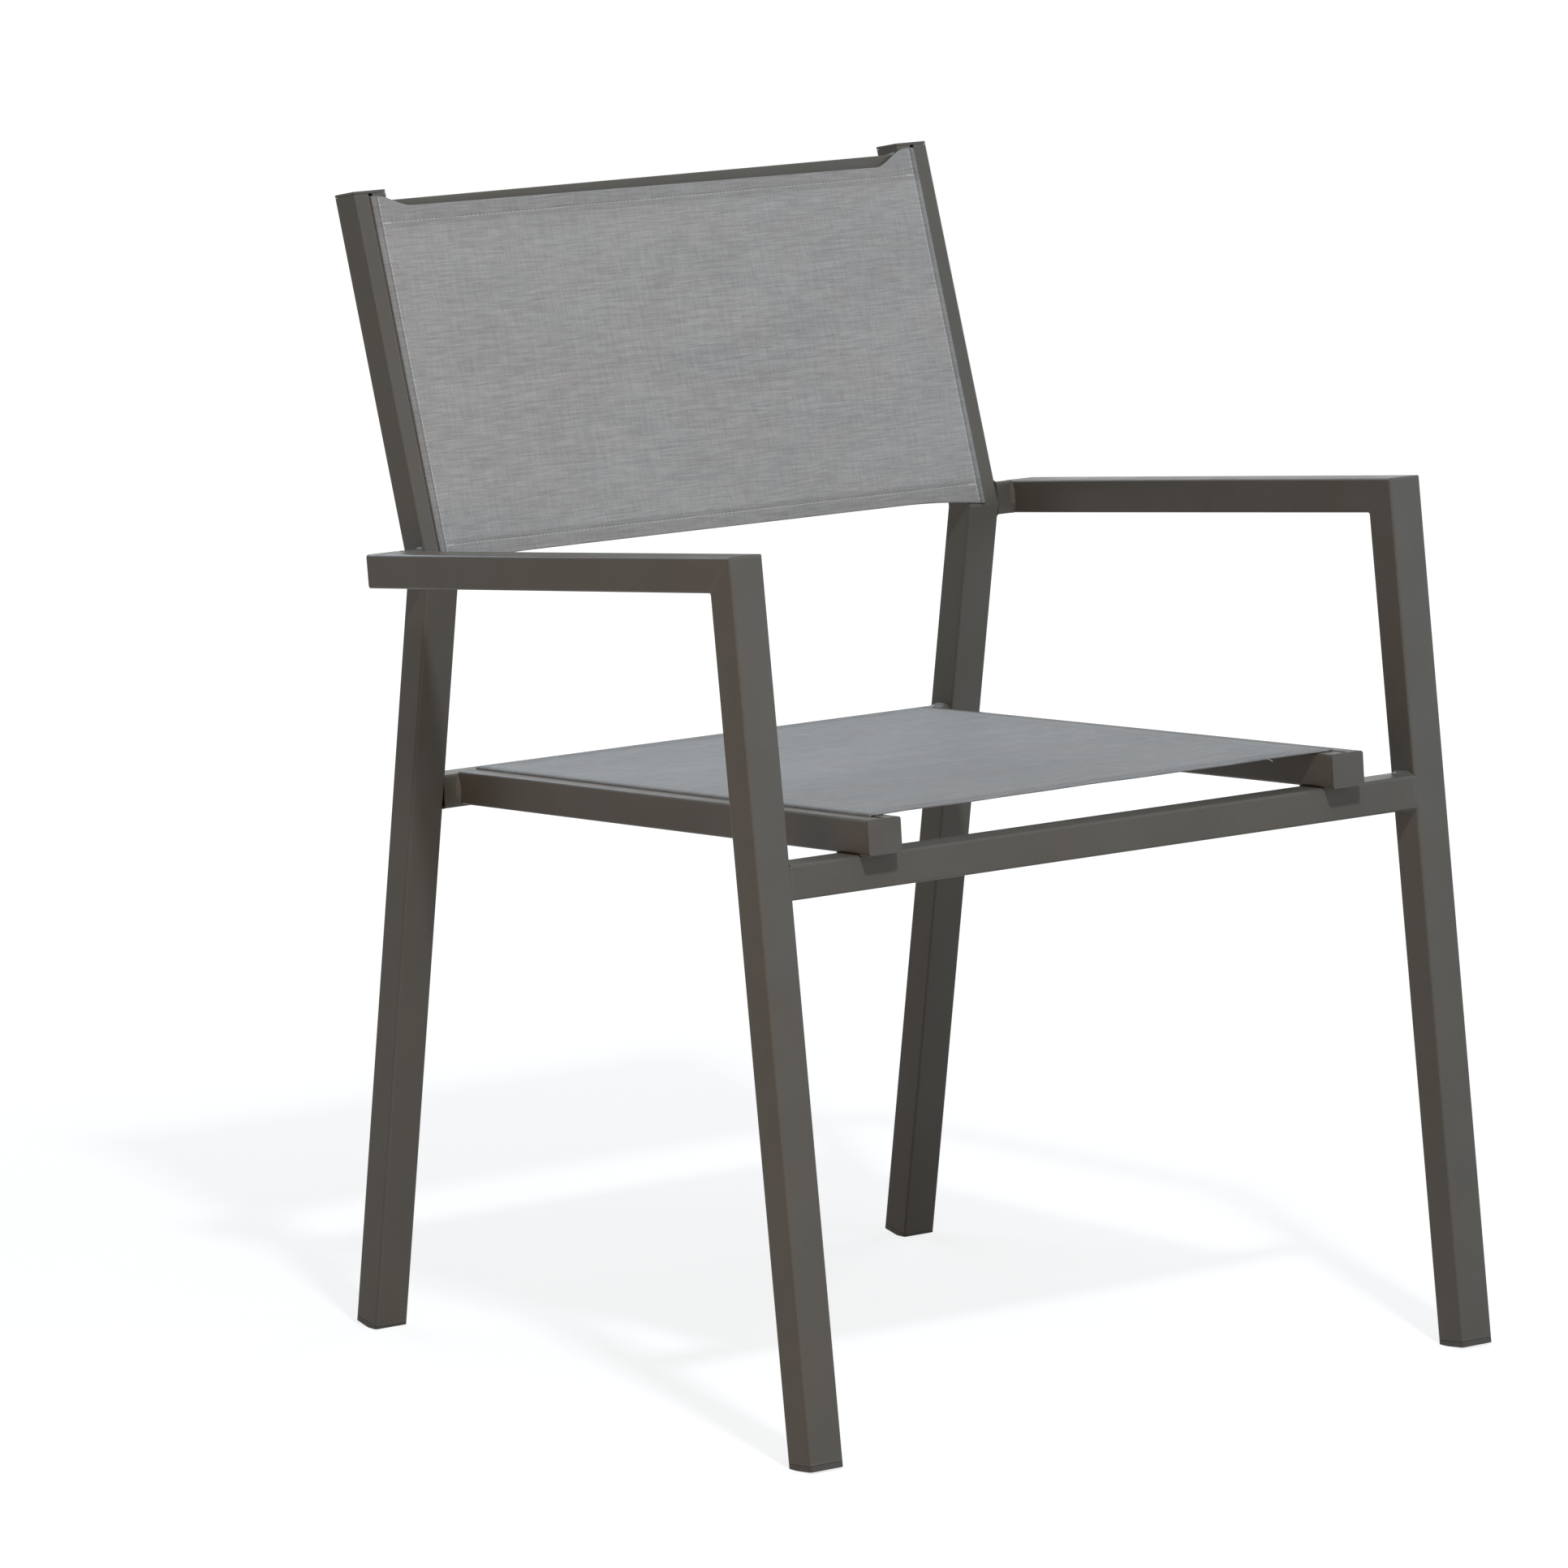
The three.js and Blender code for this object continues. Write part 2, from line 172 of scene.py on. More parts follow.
def add_mesh(name, points, faces, material):
    """A mesh piece of the object, from points in the chair's frame."""
    mesh = bpy.data.meshes.new(name)
    mesh.from_pydata([tuple(p * MM) for p in points], [], faces)
    shape = bmesh.new()
    shape.from_mesh(mesh)
    bmesh.ops.recalc_face_normals(shape, faces=shape.faces)
    shape.to_mesh(mesh)
    shape.free()
    mesh.polygons.foreach_set("use_smooth", [True] * len(mesh.polygons))
    mesh.materials.append(material)
    mesh.update()
    piece = bpy.data.objects.new(name, mesh)
    scene.collection.objects.link(piece)
    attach(piece, "root")
    return piece


def band(first, second, count):
    """Faces between two rings of count points, from the number of each ring's first point."""
    pairs = [(k, (k + 1) % count) for k in range(count)]
    return [(first + k, first + n, second + n, second + k) for k, n in pairs]


# Materials: a scale is per metre, and a distance or radius is in metres
NOISE_LOW, NOISE_HIGH = 0.3, 0.7  # between which most values of a noise lie


class Nodes:
    """A short way to write a node tree: most calls add a node and return its output."""

    def __init__(self, name):
        self.material = bpy.data.materials.new(name)
        self.material.use_nodes = True
        self.tree = self.material.node_tree
        self.shader = self.tree.nodes["Principled BSDF"]
        coordinates = self.tree.nodes.new("ShaderNodeTexCoord")
        self.place = coordinates.outputs["Object"]

    @classmethod
    def of(cls, tree):
        """For a tree that belongs to no material, such as the world's."""
        made = cls.__new__(cls)
        made.tree = tree
        return made

    def node(self, kind, inputs=None, **settings):
        made = self.tree.nodes.new(kind)
        for key, value in settings.items():
            setattr(made, key, value)
        for key, value in (inputs or {}).items():
            self.put(made.inputs[key], value)
        return made

    def put(self, socket, value):
        if isinstance(value, bpy.types.NodeSocket):
            self.tree.links.new(value, socket)
        else:
            socket.default_value = value

    def math(self, operation, a, b=0.0):
        return self.node("ShaderNodeMath", {0: a, 1: b}, operation=operation).outputs[0]

    def dot(self, a, b):
        made = self.node("ShaderNodeVectorMath", {0: a, 1: b}, operation="DOT_PRODUCT")
        return made.outputs["Value"]

    def mapped(self, scale, rotation=(0, 0, 0)):
        turned = self.place
        if any(rotation):
            turned = self.node("ShaderNodeMapping", {"Vector": turned, "Rotation": rotation}).outputs[0]
        return self.node("ShaderNodeMapping", {"Vector": turned, "Scale": scale}).outputs[0]

    def noise(self, vector, scale=1.0, detail=2.0, roughness=0.5):
        made = self.node(
            "ShaderNodeTexNoise",
            {"Vector": vector, "Scale": scale, "Detail": detail, "Roughness": roughness},
        )
        return made.outputs["Fac"]

    def spread(self, value, low, high, to_low=0.0, to_high=1.0):
        made = self.node("ShaderNodeMapRange", {0: value, 1: low, 2: high, 3: to_low, 4: to_high})
        return made.outputs[0]

    def cloud(self, vector, scale=1.0, detail=3.0, to_low=0.0, to_high=1.0):
        """Soft patches, from to_low to to_high."""
        return self.spread(self.noise(vector, scale, detail), NOISE_LOW, NOISE_HIGH, to_low, to_high)

    def mix(self, share, a, b, blend="MIX"):
        made = self.node("ShaderNodeMix", data_type="RGBA", blend_type=blend)
        self.put(made.inputs[0], share)
        self.put(made.inputs[6], a)
        self.put(made.inputs[7], b)
        return made.outputs[2]

    def clouded(self, colour, scale, darkest, lightest):
        """A colour in soft patches, between two factors of it."""
        return self.mix(self.cloud(self.place, scale), scaled(colour, darkest), scaled(colour, lightest))

    def bump(self, height, distance, strength=1.0, normal=None):
        inputs = {"Height": height, "Distance": distance, "Strength": strength}
        if normal is not None:
            inputs["Normal"] = normal
        return self.node("ShaderNodeBump", inputs).outputs[0]

    def set(self, **inputs):
        """The shader's own inputs, with _ for each space in a name."""
        for key, value in inputs.items():
            self.put(self.shader.inputs[key.replace("_", " ")], value)


def linear(hexcode):
    """A colour as the shader takes it, from its usual six-digit code."""
    parts = [int(hexcode[i : i + 2], 16) / 255 for i in (0, 2, 4)]
    return tuple(c / 12.92 if c <= 0.04045 else ((c + 0.055) / 1.055) ** 2.4 for c in parts) + (1,)


def scaled(colour, factor):
    return tuple(c * factor for c in colour[:3]) + (1,)


COAT_COLOUR = linear("5b5751")
COAT_PATCH = linear("5f5447")
COAT_SPECK = scaled(COAT_COLOUR, 1.35)
# a paler grey painted along the tubes' edges as a highlight
COAT_EDGE_HIGHLIGHT = scaled(linear("6f6e6b"), 1.3)
COAT_EDGE_RADIUS = 0.0022


def powder_coat(name, edge_highlight):
    """Dark powder coat in faint patches, with a paler grey painted along its edges as a highlight; the
    second argument sets how strong.
    """
    n = Nodes(name)
    grain = n.noise(n.place, scale=900)
    patch = n.spread(n.noise(n.mapped((22, 22, 9)), detail=3), low=0.4, high=0.7, to_high=0.3)
    speck = n.spread(grain, low=0.35, high=0.65, to_high=0.16)
    colour = n.clouded(COAT_COLOUR, scale=14, darkest=0.93, lightest=1.05)
    colour = n.mix(patch, colour, COAT_PATCH)
    colour = n.mix(speck, colour, COAT_SPECK)
    # painted highlight along the edges
    colour = n.mix(painted_edge_highlight(n, edge_highlight), colour, COAT_EDGE_HIGHLIGHT)
    rough = n.cloud(n.place, scale=40, to_low=0.3, to_high=0.39)
    peel = n.bump(n.noise(n.place, scale=420), distance=0.0001, strength=0.4)
    fine = n.bump(grain, distance=0.00004, strength=0.5, normal=peel)
    n.set(Base_Color=colour, Roughness=rough, Normal=fine, Specular_IOR_Level=0.13)
    return n.material


def painted_edge_highlight(n, edge_highlight):
    """A painted highlight along edges: 0 on flat faces, rising to the given strength where a rounded
    normal leaves the true one, at an edge.
    """
    rounded = n.node("ShaderNodeBevel", {"Radius": COAT_EDGE_RADIUS}, samples=4).outputs[0]
    true = n.node("ShaderNodeNewGeometry").outputs["True Normal"]
    return n.spread(n.dot(rounded, true), low=0.99, high=0.9, to_high=edge_highlight)


def plastic(name, code, roughness):
    n = Nodes(name)
    colour = n.clouded(linear(code), scale=60, darkest=0.94, lightest=1.06)
    change = 0.06
    rough = n.cloud(n.place, 150, detail=2, to_low=roughness - change, to_high=roughness + change)
    grain = n.bump(n.noise(n.place, scale=1500), distance=0.00006, strength=0.6)
    n.set(Base_Color=colour, Roughness=rough, Normal=grain, Specular_IOR_Level=0.25)
    return n.material


WEAVE_PITCH = 0.0015  # metres
WEAVE_WARMTH = (1.06, 0.985, 0.97, 1)
WEFT_SCALES, WARP_SCALES = (45, 300, 640), (700, 300, 60)
WEFT_CONTRAST, WARP_CONTRAST, CLOUD_CONTRAST = 0.13, 0.07, 0.05
YARN_NOISE = (0.34, 0.66)  # between which most values of a yarn's noise lie


def weave_height(n, turn):
    """A plain weave's height, from 0 in its gaps to 1 on its yarns."""
    per_yarn = 1 / WEAVE_PITCH
    split = n.node("ShaderNodeSeparateXYZ", {0: n.mapped((per_yarn, per_yarn, per_yarn), turn)})
    across = n.math("SINE", n.math("MULTIPLY", split.outputs[0], math.pi))
    along = n.math("SINE", n.math("MULTIPLY", split.outputs[2], math.pi))
    height = n.node("ShaderNodeMix", data_type="FLOAT")
    n.put(height.inputs[0], n.math("GREATER_THAN", n.math("MULTIPLY", across, along)))
    n.put(height.inputs[2], n.math("ABSOLUTE", along))
    n.put(height.inputs[3], n.math("ABSOLUTE", across))
    return height.outputs[0]


def woven(name, code, turn, sling):
    """Coated mesh weave, with painted shade between its yarns and at its hems and folds: turn lays the
    sheet's length along the texture's z axis.
    """
    n = Nodes(name)
    yarn = weave_height(n, turn)
    weft = n.noise(n.mapped(WEFT_SCALES, turn), detail=4, roughness=0.6)
    warp = n.noise(n.mapped(WARP_SCALES, turn), detail=3, roughness=0.6)
    weft_part = n.spread(weft, *YARN_NOISE, 1 - WEFT_CONTRAST, 1 + WEFT_CONTRAST)
    warp_part = n.spread(warp, *YARN_NOISE, -WARP_CONTRAST, WARP_CONTRAST)
    cloud_part = n.cloud(n.mapped((9, 9, 22), turn), to_low=-CLOUD_CONTRAST, to_high=CLOUD_CONTRAST)
    tone = n.math("ADD", weft_part, n.math("ADD", warp_part, cloud_part))
    # painted shade in the gaps between the yarns
    painted_gap_shade = n.spread(yarn, low=0.0, high=0.55, to_low=0.74, to_high=1.03)
    # painted shade at the hems, in the edge folds and along the line beside them
    tone = n.math("MULTIPLY", tone, n.math("MULTIPLY", painted_gap_shade, painted_seam_shade(n, sling)))
    grey = n.node("ShaderNodeCombineColor", {0: tone, 1: tone, 2: tone}).outputs[0]
    colour = n.mix(1.0, linear(code), grey, "MULTIPLY")
    warm = n.spread(n.noise(n.mapped((16, 16, 30), turn)), low=0.42, high=0.7, to_high=0.5)
    colour = n.mix(warm, colour, n.mix(1.0, colour, WEAVE_WARMTH, "MULTIPLY"))
    weave = n.bump(yarn, distance=0.00025, strength=0.6)
    slub = n.bump(weft, distance=0.0002, strength=0.4, normal=weave)
    n.set(Base_Color=colour, Roughness=0.62, Normal=slub, Specular_IOR_Level=0.2)
    n.set(Sheen_Weight=0.04, Sheen_Roughness=0.5)
    return n.material


# Painted shade on the slings: double hems that let less light through, edge folds turned away from the
# light, and a shadow line in the groove beside a fold
HEM_PAINTED_SHADE, FOLD_PAINTED_SHADE, LINE_PAINTED_SHADE = 0.86, 0.76, 0.7
HEM_BLUR = 1
FOLD_SHADE = (3.0, 4.2)  # from the rod: full shade up to the first, and none from the second
LINE_AT = 3.6  # from the rod
LINE_SHADE = (0.3, 1.1)  # from the middle of the line, as for the fold


def painted_seam_shade(n, sling):
    """A factor of painted shade on a sling: at its double hems, in its edge folds and along a line
    there.
    """
    member = sling.member
    along = (0, -member.sin, member.cos)
    foot = along[1] * member.y + along[2] * member.z
    z = n.math("SUBTRACT", n.math("MULTIPLY", n.dot(n.place, along), PER_METRE), foot)
    from_edge = n.math(
        "MINIMUM", n.math("SUBTRACT", z, sling.low), n.math("SUBTRACT", sling.high, z)
    )
    hem = n.spread(from_edge, HEM_CUT - HEM_BLUR, HEM_CUT + HEM_BLUR, HEM_PAINTED_SHADE, 1.0)
    x = n.math("MULTIPLY", n.node("ShaderNodeSeparateXYZ", {0: n.place}).outputs[0], PER_METRE)
    from_rod = n.math("SUBTRACT", sling.rod_x, n.math("ABSOLUTE", x))
    fold = n.spread(from_rod, *FOLD_SHADE, FOLD_PAINTED_SHADE, 1.0)
    from_line = n.math("ABSOLUTE", n.math("SUBTRACT", from_rod, LINE_AT))
    line = n.spread(from_line, *LINE_SHADE, LINE_PAINTED_SHADE, 1.0)
    return n.math("MULTIPLY", hem, n.math("MULTIPLY", fold, line))


# the frame's coat gets a painted highlight along its edges, the welds' coat none
coat = powder_coat("powder_coat", edge_highlight=0.3)
weld_coat = powder_coat("weld_coat", edge_highlight=0.0)
plug_plastic = plastic("cap_plastic", "55504a", roughness=0.5)
glide_plastic = plastic("glide_plastic", "4a4742", roughness=0.55)
rod_plastic = plastic("rod_plastic", "b9b7b0", roughness=0.45)
thread = plastic("thread", "c4c2bd", roughness=0.8)

# CAD nodes keep their shape: smooth shading comes from modifiers
MERGE_DISTANCE = 1e-6  # metres
SHARP_ANGLE = math.radians(30)
FLAT_WEIGHT = 80  # over 50, so that the normals of large faces count for more


def smooth_group():
    """Geometry nodes that shade a mesh smooth, apart from its sharp edges."""
    group = bpy.data.node_groups.new("smooth_corners", "GeometryNodeTree")
    group.interface.new_socket("Geometry", in_out="INPUT", socket_type="NodeSocketGeometry")
    group.interface.new_socket("Geometry", in_out="OUTPUT", socket_type="NodeSocketGeometry")
    source = group.nodes.new("NodeGroupInput")
    merge = group.nodes.new("GeometryNodeMergeByDistance")
    merge.inputs["Distance"].default_value = MERGE_DISTANCE
    bare = group.nodes.new("GeometryNodeRemoveAttribute")
    bare.inputs["Name"].default_value = "custom_normal"
    faces = group.nodes.new("GeometryNodeSetShadeSmooth")
    faces.domain = "FACE"
    angle = group.nodes.new("GeometryNodeInputMeshEdgeAngle")
    sharp = group.nodes.new("FunctionNodeCompare")
    sharp.data_type = "FLOAT"
    sharp.operation = "GREATER_THAN"
    sharp.inputs[1].default_value = SHARP_ANGLE
    edges = group.nodes.new("GeometryNodeSetShadeSmooth")
    edges.domain = "EDGE"
    edges.inputs["Shade Smooth"].default_value = False
    target = group.nodes.new("NodeGroupOutput")
    chain = (source, merge, bare, faces, edges, target)
    for before, after in zip(chain, chain[1:]):
        group.links.new(before.outputs[0], after.inputs[0])
    group.links.new(angle.outputs["Unsigned Angle"], sharp.inputs[0])
    group.links.new(sharp.outputs[0], edges.inputs["Selection"])
    return group


smooth_corners = smooth_group()


def shade_corners(piece):
    smoothing = piece.modifiers.new("smooth", "NODES")
    smoothing.node_group = smooth_corners
    weighted = piece.modifiers.new("weighted", "WEIGHTED_NORMAL")
    weighted.keep_sharp = True
    weighted.weight = FLAT_WEIGHT


def material_of(name):
    if "glide" in name:
        return glide_plastic
    if "plug" in name or "cap" in name:
        return plug_plastic
    if "keder" in name:
        return rod_plastic
    return coat


for name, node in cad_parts.items():
    node.data.materials.clear()
    node.data.materials.append(material_of(name))
    shade_corners(node)


# Slings: the cloth, and its seams as distances from a free edge or from a rod
CLOTH = 0.8
CLOTH_LIFT = 0.12  # clear of the faces of posts and rails
LAYER_GAP = 0.05
DOUBLE = 2 * CLOTH + LAYER_GAP
FOLD = 1.4  # outer radius of the turn down into the slot
INNER_FOLD = 0.6
EDGE_PAST_ROD = 4  # to the half width that the shares of a free edge are of
HEM_CUT = 14.0
HEM_STITCH = 10.0
HEM_CREASE = 3.0
POCKET_CUT = 17.0
POCKET_STITCH = 5.0
CUT_STEP = 0.35  # over which two layers become one
BLEND = 6.0  # over which the rows of points leave the free edge's hollow

# The front surface
SINGLE_DROP = 0.4  # of the single cloth below the double
HEM_SLOPE = (-1, 5)  # round the hem's cut edge
POCKET_SLOPE = (-6, 1)  # round the pocket's cut edge
SEAM_WIDTH = 0.8
SEAM_DEPTH = 0.32
PULL_DEPTH = 0.28  # more of it away from the pockets
CREASE_SHARE = 0.8
FLAT_REACH = 40  # from the pocket's cut edge to where bow and waves are full
BOW_REACH = 120  # from a free edge to where the bow is full
WAVE_ACROSS, WAVE_ALONG = 0.031, 0.045  # radians per millimetre
SLANT_ACROSS, SLANT_ALONG = 0.083, 0.02
SLANT_SHARE = 0.6
WAVE_HEIGHT = 0.16

# Where the points of a sling lie
WIDE_SHARE = 0.63  # of the half width, with columns a wide step apart
WIDE_STEP = 6
CLOSE_SHARES = [0.64 + 0.01 * i for i in range(34)]  # where the hollows of the free edges end
SEAM_COLUMNS = (-3, -1.6, -1.0, -0.5, 0, 0.5, 1.0, 1.6, 3)  # round the pocket's seam
CUT_COLUMNS = (-8, -5, -2.5, -CUT_STEP, 0, 2.5, 5)  # round the pocket's cut edge
LEAST_STEP = 0.3
HEM_ROWS = (0.9, 1.8, 3, 4.5, 6, 7.5, 8.6, 9.2, 9.6, 10, 10.4, 10.8, 11.6, 12.8)
HEM_ROWS += (HEM_CUT, HEM_CUT + CUT_STEP, 16, 18, 20.5, 24, 28)
ROW_STEP = 7
FEWEST_ROWS = 4
FOLD_STEPS = 6
SLOT_DEPTHS = (1.2, 2.3)  # of the last columns, which go down into the slot
POCKET_SIDES = 28


class FreeEdge:
    """A free edge of a sling: level with `at` by its rods, and hollow by dip between them.

    left and right are the two shares of the half width between which the hollow ends on a side.
    power gives that ramp another curve than a smooth step. lean is how much deeper the hollow
    gets from the middle to the left side.
    """

    def __init__(self, at, dip, left, right=None, power=0, lean=0):
        self.at, self.dip, self.power, self.lean = at, dip, power, lean
        self.left, self.right = left, right or left

    def hollow(self, share):
        low, high = self.left if share > 0 else self.right
        if self.power:
            return self.dip * (1 - ramp(abs(share), low, high) ** self.power)
        return (self.dip + self.lean * share) * (1 - smoothstep(abs(share), low, high))


def dent(distance):
    """Share of a seam's full depth at a distance from its middle."""
    return math.exp(-((distance / SEAM_WIDTH) ** 2))


class Sling:
    """One stretched sheet in the frame of its two tubes: x across, y into them, z along them."""

    def __init__(self, member, rod_x, low_edge, high_edge, bow, seed):
        self.member, self.rod_x, self.bow, self.seed = member, rod_x, bow, seed
        self.low_edge, self.high_edge = low_edge, high_edge
        self.start, self.end = low_edge.at, high_edge.at
        self.half = rod_x + EDGE_PAST_ROD
        self.low = self.start + low_edge.dip
        self.high = self.end - high_edge.dip
        self.pocket_cut = rod_x - POCKET_CUT
        self.pocket_stitch = rod_x - POCKET_STITCH

    def edge_low(self, x):
        return self.start + self.low_edge.hollow(x / self.half)

    def edge_high(self, x):
        return self.end - self.high_edge.hollow(x / self.half)

    def from_edge(self, z):
        return min(z - self.low, self.high - z)

    def level(self, x, row):
        """The z of a row at x: ("low" or "high", distance from that edge) or ("middle", share)."""
        kind, value = row
        if kind == "middle":
            return self.low + value * (self.high - self.low)
        t, past = min(1, value / BLEND), max(0, value - BLEND)
        if kind == "low":
            return (1 - t) * self.edge_low(x) + t * (self.low + BLEND) + past
        return (1 - t) * self.edge_high(x) + t * (self.high - BLEND) - past

    def double(self, x, z):
        """Whether the cloth lies double here, as 0 or 1 with a short step between."""
        hem = 1 - smoothstep(self.from_edge(z), HEM_CUT, HEM_CUT + CUT_STEP)
        pocket = smoothstep(abs(x), self.pocket_cut - CUT_STEP, self.pocket_cut)
        return max(hem, pocket)

    def front(self, x, z):
        """Depth of the front surface: low at seams and on single cloth, bowed and a little wavy."""
        from_edge, from_middle = self.from_edge(z), abs(x)
        hem = 1 - smoothstep(from_edge, *(HEM_CUT + d for d in HEM_SLOPE))
        pocket = smoothstep(from_middle, *(self.pocket_cut + d for d in POCKET_SLOPE))
        y = -(CLOTH_LIFT + DOUBLE) + SINGLE_DROP * (1 - max(hem, pocket))
        stitch = dent(from_edge - HEM_STITCH) * (from_middle < self.pocket_stitch)
        seam = dent(from_middle - self.pocket_stitch)
        crease = CREASE_SHARE * dent(from_edge - HEM_CREASE)
        flat = 1 - smoothstep(from_middle, self.pocket_cut - FLAT_REACH, self.pocket_cut)
        y += SEAM_DEPTH * max(stitch, seam, crease) + PULL_DEPTH * flat * max(stitch, crease)
        middle = 1 - (from_middle / self.rod_x) ** 2
        y += self.bow * middle * smoothstep(from_edge, 0, BOW_REACH) * flat**0.5
        wave = math.sin(WAVE_ACROSS * x + self.seed) * math.sin(WAVE_ALONG * z + 2 * self.seed)
        wave += SLANT_SHARE * math.sin(SLANT_ACROSS * x - SLANT_ALONG * z + 3 * self.seed)
        return y + WAVE_HEIGHT * flat * wave

    def columns(self):
        """Places across the flat part, closer together where the sheet changes."""
        wide = WIDE_SHARE * self.half
        steps = int(wide / WIDE_STEP)
        xs = [wide * i / steps for i in range(1, steps + 1)]
        xs += [self.half * share for share in CLOSE_SHARES]
        xs += [self.pocket_stitch + d for d in SEAM_COLUMNS]
        xs += [self.pocket_cut + d for d in CUT_COLUMNS]
        flat_end = self.rod_x + DOUBLE / 2 - FOLD
        kept = []
        for x in sorted(xs):
            if x < flat_end - LEAST_STEP and (not kept or x - kept[-1] > LEAST_STEP):
                kept.append(x)
        return [-x for x in reversed(kept)] + [0.0] + kept

    def section(self):
        """Columns of (front x, front y, back x, back y), with None for a y that front() gives."""
        outer, inner = self.rod_x + DOUBLE / 2, self.rod_x - DOUBLE / 2
        side = []
        for k in range(FOLD_STEPS + 1):
            sin, cos = math.sin(RIGHT_ANGLE * k / FOLD_STEPS), math.cos(RIGHT_ANGLE * k / FOLD_STEPS)
            front = (outer - FOLD + FOLD * sin, -(CLOTH_LIFT + DOUBLE) + FOLD - FOLD * cos)
            back = (inner - INNER_FOLD + INNER_FOLD * sin, -CLOTH_LIFT + INNER_FOLD - INNER_FOLD * cos)
            side.append(front + back)
        side += [(outer, depth, inner, depth) for depth in SLOT_DEPTHS]
        mirrored = [(-fx, fy, -bx, by) for fx, fy, bx, by in reversed(side)]
        return mirrored + [(x, None, x, None) for x in self.columns()] + side

    def rows(self):
        low = [("low", d) for d in HEM_ROWS]
        high = [("high", d) for d in reversed(HEM_ROWS)]
        span, near = self.high - self.low, HEM_ROWS[-1]
        count = max(FEWEST_ROWS, int((span - 2 * near) / ROW_STEP))
        first, last = near / span, 1 - near / span
        middle = [("middle", first + (last - first) * i / count) for i in range(1, count)]
        return low + middle + high

    def ring(self, column, rows):
        """The points round the cloth at a column: up its front, over, down its back, and under."""
        front_x, front_y, back_x, back_y = column
        x = front_x if front_y is None else (front_x + back_x) / 2
        front, back = [], []
        for row in rows:
            z = self.level(x, row)
            y = self.front(front_x, z) if front_y is None else front_y
            thick = CLOTH + (DOUBLE - CLOTH) * self.double(back_x, z)
            front.append(Vector((front_x, y, z)))
            back.append(Vector((back_x, y + thick if back_y is None else back_y, z)))
        over = folded_edge(front[-1], back[-1], self.edge_high(x))
        under = folded_edge(back[0], front[0], self.edge_low(x))
        return front + over + back[::-1] + under

    def build(self):
        """Points and faces of the whole sheet, in the chair's frame."""
        rows = self.rows()
        rings = [self.ring(column, rows) for column in self.section()]
        size = len(rings[0])
        points = [p for ring in rings for p in ring]
        starts = [i * size for i in range(len(rings))]
        faces = []
        for here, there in zip(starts, starts[1:]):
            faces += band(here, there, size)
        faces += [face[::-1] for face in end_faces(starts[0], len(rows))]
        faces += end_faces(starts[-1], len(rows))
        self.pocket(points, faces, 1)
        self.pocket(points, faces, -1)
        return [self.member.at(*p) for p in points], faces

    def pocket(self, points, faces, sign):
        """The tube of cloth round the rod, inside the groove."""
        corners = [(self.start, POCKET_INNER), (self.start, POCKET_OUTER)]
        corners += [(self.end, POCKET_OUTER), (self.end, POCKET_INNER)]
        starts = [len(points) + i * POCKET_SIDES for i in range(len(corners))]
        for z, radius in corners:
            for k in range(POCKET_SIDES):
                a = 2 * math.pi * k / POCKET_SIDES
                x = self.rod_x * sign + radius * math.cos(a)
                points.append(Vector((x, ROD_DEPTH + radius * math.sin(a), z)))
        for here, there in zip(starts, starts[1:] + starts[:1]):
            faces += band(there, here, POCKET_SIDES)

    def flat_size(self):
        """Width and length of the flat sheet in metres, with its pockets and hems."""
        round_rod = ROD_DEPTH + 2 * math.pi * (POCKET_INNER + CLOTH / 2)
        width = 2 * (self.rod_x + round_rod + POCKET_CUT)
        length = self.end - self.start + 2 * HEM_CUT
        return width * MM, length * MM


def folded_edge(first, last, z):
    """The points of the fold from one side of the cloth to the other, which reaches z."""
    centre, half = (first + last) / 2, (first - last) / 2
    turns = [math.pi * k / FOLD_STEPS for k in range(1, FOLD_STEPS)]
    reach = z - centre.z
    return [centre + half * math.cos(t) + Vector((0, 0, reach * math.sin(t))) for t in turns]


def end_faces(base, count):
    """The faces that close a sheet at the first or last ring, which has count points a side."""
    fold = FOLD_STEPS - 1
    front = [base + j for j in range(count)]
    over = [base + count + j for j in range(fold)]
    back = [base + 2 * count + fold - 1 - j for j in range(count)]
    under = [base + 2 * count + fold + j for j in range(fold)]
    faces = [(front[j], front[j + 1], back[j + 1], back[j]) for j in range(count - 1)]
    return faces + [(front[-1], *over, back[-1]), (back[0], *under, front[0])]


# Thread
STITCH_PITCH = 3.4
STITCH_LENGTH = 2.7
STITCH_FIRST_SHARE = 0.1  # of a pitch, before the first stitch
STITCH_RADIUS = 0.34
STITCH_LIFT = 0.3
STITCH_RINGS = 5
STITCH_SIDES = 6
STITCH_TIP_SHARE = 0.08  # of the half turn whose sine gives a stitch its swell
STITCH_POWER = 0.6
HEM_SEAM_GAP = 0.6  # between a hem's seam and the pocket's
HEM_BACK_GAP = 1  # between a hem's seam at the back and the pocket's cut edge
POCKET_SEAM_GAP = 2.5  # between a pocket's seam and the end of the sling
TACK_COUNT = 9  # of the short stitches in a bar tack, which ends a hem's seam
TACK_PITCH = 0.75
TACK_HALF = 0.9  # half the length of its stitches
TACK_SLANT = 0.3
TACK_RISE = 0.1
TACK_RADIUS = 0.3
LOOSE_X = 142
LOOSE_DEPTH = 0.5  # of its root below the front of the seat's front hem
LOOSE_THREAD = ((0, 0, 0), (2.6, 1.3, -0.6), (5, 2.6, 0))  # from its root
LOOSE_RADIUS = 0.32


